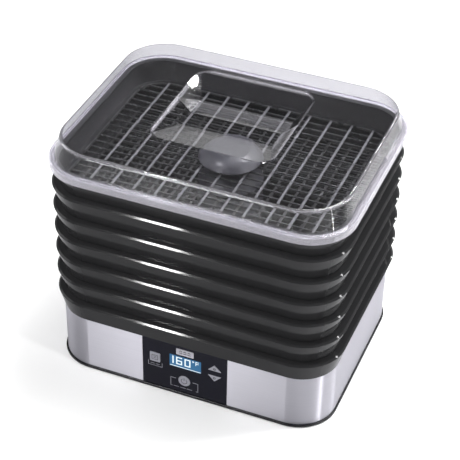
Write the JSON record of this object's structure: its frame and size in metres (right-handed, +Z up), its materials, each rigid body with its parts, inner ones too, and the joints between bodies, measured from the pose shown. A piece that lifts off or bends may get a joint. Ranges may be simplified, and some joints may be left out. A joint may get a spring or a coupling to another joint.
{
  "type": "food dehydrator",
  "caption": "Stacking food dehydrator: steel-banded base with front control panel and fan heater, black rectangular trays with hubbed drying grids, clear cover with a hand pocket.",
  "frame": {"origin": "centre of the footprint, on the surface that the feet stand on", "axes": "+Z up, the front with the control panel faces -Y, +X is to the right of someone who faces the front panel"},
  "size_m": [0.4078, 0.3218, 0.3481],
  "materials": {
    "foot_rubber": "matt moulded rubber",
    "base_plastic": "fine texture moulded plastic",
    "deck_plastic": "satin moulded plastic",
    "tray_plastic": "satin moulded plastic",
    "grid_plastic": "satin moulded plastic",
    "hub_plastic": "satin moulded plastic",
    "steel_skin": "brushed along the band",
    "bright_steel": "zinc plated",
    "motor_can": "dark zinc",
    "fan_plastic": "moulded plastic",
    "mica": "pressed mica sheet",
    "heater_wire": "oxidised resistance wire",
    "board_green": "solder mask",
    "component_black": "moulded component cases",
    "panel_gloss": "dark gloss",
    "button_grey": "satin light grey",
    "display_blue": "backlit display",
    "display_white": "lit segments",
    "print_grey": "screen print",
    "badge_white": "satin plate, blank",
    "lid_clear": "clear moulded plastic"
  },
  "bodies": {
    "base": {"badge_plate": "badge_white", "base_deck": "deck_plastic", "base_housing": "base_plastic", "base_pan": "base_plastic", "base_screws": "bright_steel", "button_switches": "component_black", "cable_bush": "foot_rubber", "control_board": "board_green", "display_digits": "display_white", "display_face": "display_blue", "display_module": "component_black", "fan_shroud": "base_plastic", "feet": "foot_rubber", "heater_coil": "heater_wire", "heater_supports": "mica", "motor_body": "motor_can", "motor_bracket": "bright_steel", "motor_screws": "bright_steel", "outlet_grille": "base_plastic", "panel_bezel": "panel_gloss", "panel_marks": "print_grey", "power_board": "board_green", "power_parts": "component_black", "steel_band": "steel_skin", "temperature_sensor": "base_plastic", "thermal_cutout": "bright_steel"},
    "fan": {"fan_rotor": "fan_plastic"},
    "mode_button": {"button_mode": "button_grey"},
    "start_button": {"button_start": "button_grey"},
    "up_button": {"button_up": "button_grey"},
    "down_button": {"button_down": "button_grey"},
    "tray_1": {"tray_1": "tray_plastic", "grid_1": "grid_plastic", "hub_1": "hub_plastic"},
    "tray_2": {"tray_2": "tray_plastic", "grid_2": "grid_plastic", "hub_2": "hub_plastic"},
    "tray_3": {"tray_3": "tray_plastic", "grid_3": "grid_plastic", "hub_3": "hub_plastic"},
    "tray_4": {"tray_4": "tray_plastic", "grid_4": "grid_plastic", "hub_4": "hub_plastic"},
    "tray_5": {"tray_5": "tray_plastic", "grid_5": "grid_plastic", "hub_5": "hub_plastic"},
    "tray_6": {"tray_6": "tray_plastic", "grid_6": "grid_plastic", "hub_6": "hub_plastic"},
    "lid": {"lid": "lid_clear"}
  },
  "joints": [
    {"name": "fan_spin", "type": "hinge", "parent": "base", "child": "fan", "pos_m": [0, 0, 0.05], "axis": [0, 0, 1], "continuous": true},
    {"name": "mode_press", "type": "slide", "parent": "base", "child": "mode_button", "axis": [0, 1, 0], "range_m": [0, 0.0008], "stiffness_N_per_m": 400},
    {"name": "start_press", "type": "slide", "parent": "base", "child": "start_button", "axis": [0, 1, 0], "range_m": [0, 0.0008], "stiffness_N_per_m": 400},
    {"name": "up_press", "type": "slide", "parent": "base", "child": "up_button", "axis": [0, 1, 0], "range_m": [0, 0.0008], "stiffness_N_per_m": 400},
    {"name": "down_press", "type": "slide", "parent": "base", "child": "down_button", "axis": [0, 1, 0], "range_m": [0, 0.0008], "stiffness_N_per_m": 400},
    {"name": "tray_1_lift", "type": "slide", "parent": "base", "child": "tray_1", "axis": [0, 0, 1], "range_m": [0, 0.05]},
    {"name": "tray_2_lift", "type": "slide", "parent": "tray_1", "child": "tray_2", "axis": [0, 0, 1], "range_m": [0, 0.05]},
    {"name": "tray_3_lift", "type": "slide", "parent": "tray_2", "child": "tray_3", "axis": [0, 0, 1], "range_m": [0, 0.05]},
    {"name": "tray_4_lift", "type": "slide", "parent": "tray_3", "child": "tray_4", "axis": [0, 0, 1], "range_m": [0, 0.05]},
    {"name": "tray_5_lift", "type": "slide", "parent": "tray_4", "child": "tray_5", "axis": [0, 0, 1], "range_m": [0, 0.05]},
    {"name": "tray_6_lift", "type": "slide", "parent": "tray_5", "child": "tray_6", "axis": [0, 0, 1], "range_m": [0, 0.05]},
    {"name": "lid_lift", "type": "slide", "parent": "tray_6", "child": "lid", "axis": [0, 0, 1], "range_m": [0, 0.08]}
  ]
}
